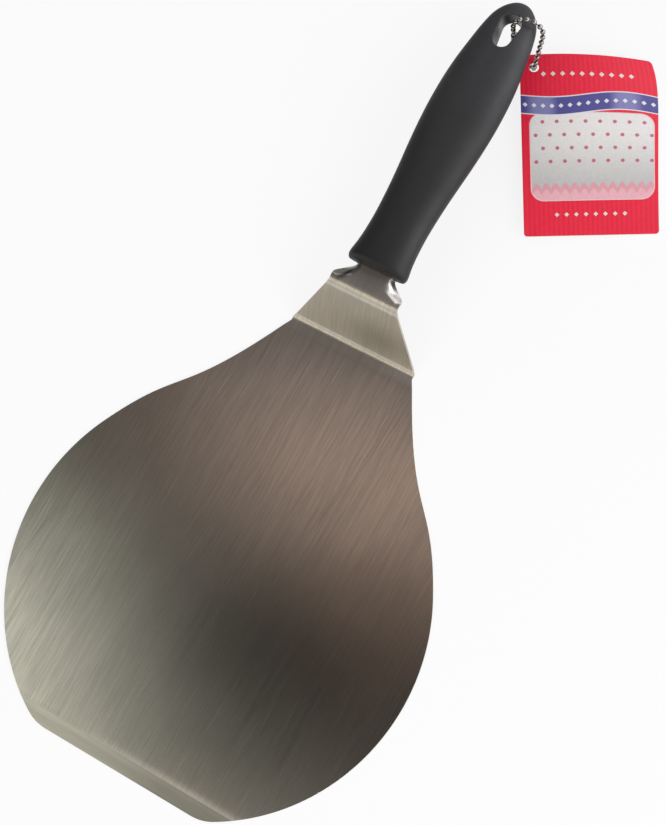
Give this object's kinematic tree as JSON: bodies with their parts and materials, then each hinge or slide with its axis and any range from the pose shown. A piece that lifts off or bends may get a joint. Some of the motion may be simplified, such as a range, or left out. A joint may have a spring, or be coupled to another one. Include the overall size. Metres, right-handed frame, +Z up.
{
  "type": "cake lifter",
  "caption": "Wide round cake lifter pressed from one brushed steel sheet, with a cranked neck, a moulded black handle and a swing card on a ball chain.",
  "frame": {"origin": "centre of the round blade, on its underside", "axes": "+Y from the straight front edge to the tip of the handle, +Z up from the blade's underside, +X to the right seen from above with the handle away"},
  "size_m": [0.1906, 0.3852, 0.0358],
  "materials": {
    "blade_steel": "stainless sheet brushed along its length",
    "handle_moulding": "black moulding with a fine matte grain",
    "chain_steel": "bright plated bead chain",
    "card_print": "printed card with a light gloss"
  },
  "bodies": {
    "lifter": {"lifter_blade": "blade_steel", "handle_grip": "handle_moulding", "chain_link_02": "chain_steel", "chain_link_03": "chain_steel", "chain_link_04": "chain_steel", "chain_link_05": "chain_steel", "chain_link_06": "chain_steel", "chain_link_07": "chain_steel", "chain_link_08": "chain_steel", "chain_link_09": "chain_steel", "chain_link_10": "chain_steel", "chain_link_11": "chain_steel", "chain_link_12": "chain_steel"},
    "chain_middle": {"chain_link_13": "chain_steel", "chain_link_14": "chain_steel", "chain_link_24": "chain_steel", "chain_link_25": "chain_steel", "chain_connector": "chain_steel", "chain_link_01": "chain_steel"},
    "chain_lower": {"chain_link_15": "chain_steel", "chain_link_16": "chain_steel", "chain_link_17": "chain_steel", "chain_link_18": "chain_steel", "chain_link_19": "chain_steel", "chain_link_20": "chain_steel", "chain_link_21": "chain_steel", "chain_link_22": "chain_steel", "chain_link_23": "chain_steel"},
    "card": {"tag_card": "card_print"}
  },
  "joints": [
    {"name": "chain_swing", "type": "hinge", "parent": "lifter", "child": "chain_middle", "pos_m": [0.01334, 0.27811, 0.01979], "axis": [0.9934, -0.0509, -0.1027], "range_deg": [-4, 15]},
    {"name": "chain_fold", "type": "hinge", "parent": "chain_middle", "child": "chain_lower", "pos_m": [0.01298, 0.27577, 0.01354], "axis": [0.9552, -0.2343, 0.181], "range_deg": [-4, 15]},
    {"name": "card_turn", "type": "hinge", "parent": "chain_lower", "child": "card", "pos_m": [0.01239, 0.27395, 0.00717], "axis": [0.0198, -0.0313, 0.9993], "range_deg": [-35, 35]}
  ],
  "couplings": [
    {"joint": "chain_fold", "follows": "chain_swing", "ratio": 1}
  ]
}
